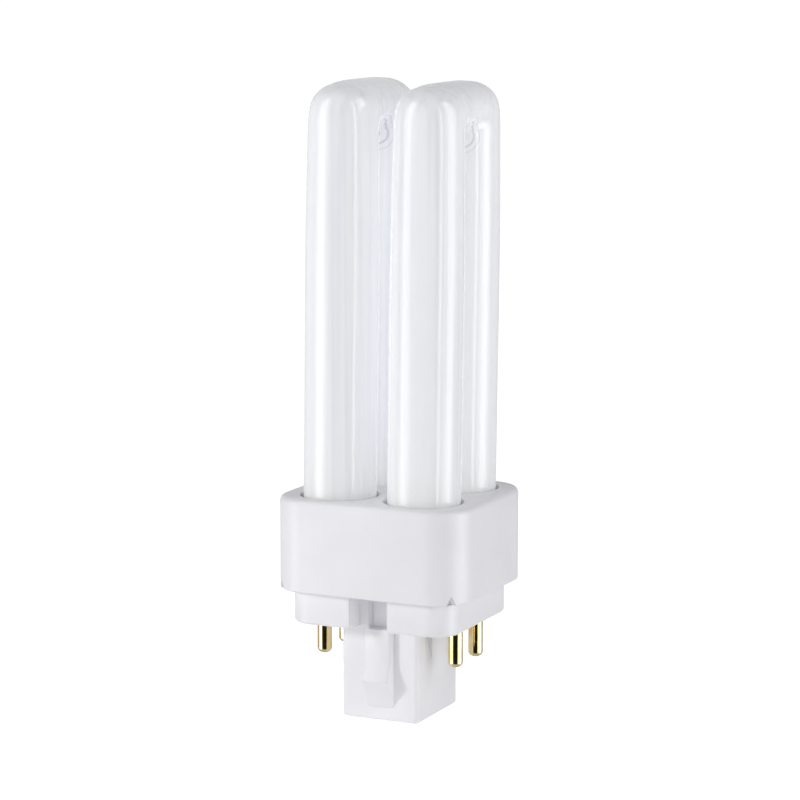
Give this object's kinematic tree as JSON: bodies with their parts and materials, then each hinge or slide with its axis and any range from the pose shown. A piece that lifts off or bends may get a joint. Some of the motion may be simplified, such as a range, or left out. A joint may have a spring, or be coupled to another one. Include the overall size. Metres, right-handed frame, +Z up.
{
  "type": "compact fluorescent lamp",
  "caption": "Compact fluorescent lamp with folded glass tubes side by side in a white plug-in base with a latched key post and brass contact pins.",
  "frame": {"origin": "centre of the flat end of the key post, the lowest point of the lamp", "axes": "+Z up the lamp from the post to the crown of the glass, +X along the long side of the base with the keyway on the +X face of the post, -Y the broad side that faces the camera"},
  "size_m": [0.0334, 0.0294, 0.1031],
  "materials": {
    "coated_glass": "glossy clear glass with an opaque white powder coat inside",
    "white_moulding": "white injection-moulded polyester, satin",
    "cement": "set basing cement, rough",
    "brass": "drawn and polished",
    "nickel_wire": "nickel-plated wire"
  },
  "bodies": {
    "root": {"discharge_tube": "coated_glass", "tube_collar": "white_moulding", "base_cap": "white_moulding", "basing_cement": "cement", "contact_pin_1": "brass", "contact_pin_2": "brass", "contact_pin_3": "brass", "contact_pin_4": "brass", "lead_wire_1": "nickel_wire", "lead_wire_2": "nickel_wire", "lead_wire_3": "nickel_wire", "lead_wire_4": "nickel_wire"}
  },
  "joints": []
}
